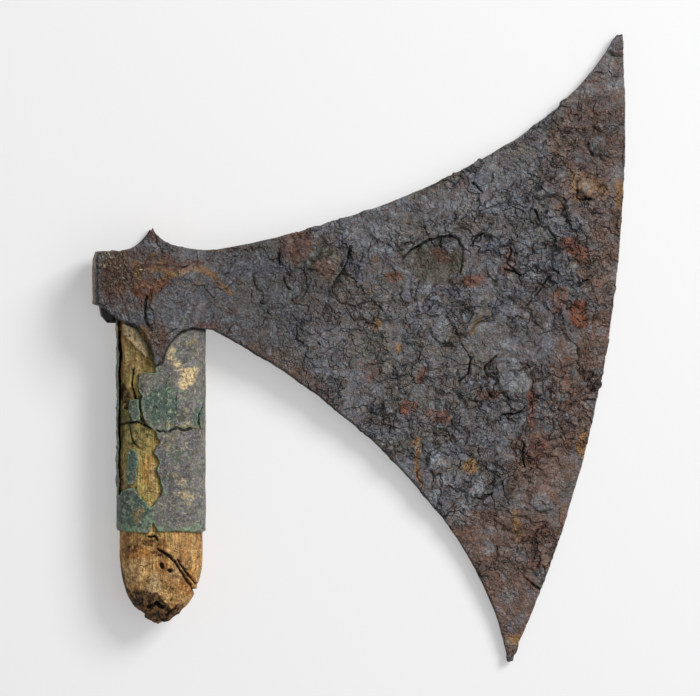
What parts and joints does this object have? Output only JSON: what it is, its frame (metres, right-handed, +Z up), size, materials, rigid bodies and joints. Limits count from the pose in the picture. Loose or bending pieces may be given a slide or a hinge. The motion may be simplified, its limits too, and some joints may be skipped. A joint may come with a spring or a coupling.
{
  "type": "broad axe",
  "caption": "Ancient broad axe lying on its side: a thin, wide forged head with a lobed socket, on a broken haft wrapped in torn sheet metal.",
  "frame": {"origin": "under the middle of the whole, on the surface that the axe lies on", "axes": "+X from the haft towards the cutting edge, +Y along the haft from its broken end towards the socket, +Z up out of the cheek that faces up"},
  "size_m": [0.2128, 0.2502, 0.0314],
  "materials": {
    "iron": "corroded wrought iron",
    "wood": "decayed and dry",
    "brass": "tarnished sheet with green corrosion"
  },
  "bodies": {
    "root": {"axe_head": "iron", "haft": "wood", "haft_sheet": "brass", "sheet_scrap_by_lobe": "brass", "sheet_scrap_middle": "brass", "sheet_scrap_strip": "brass"}
  },
  "joints": []
}
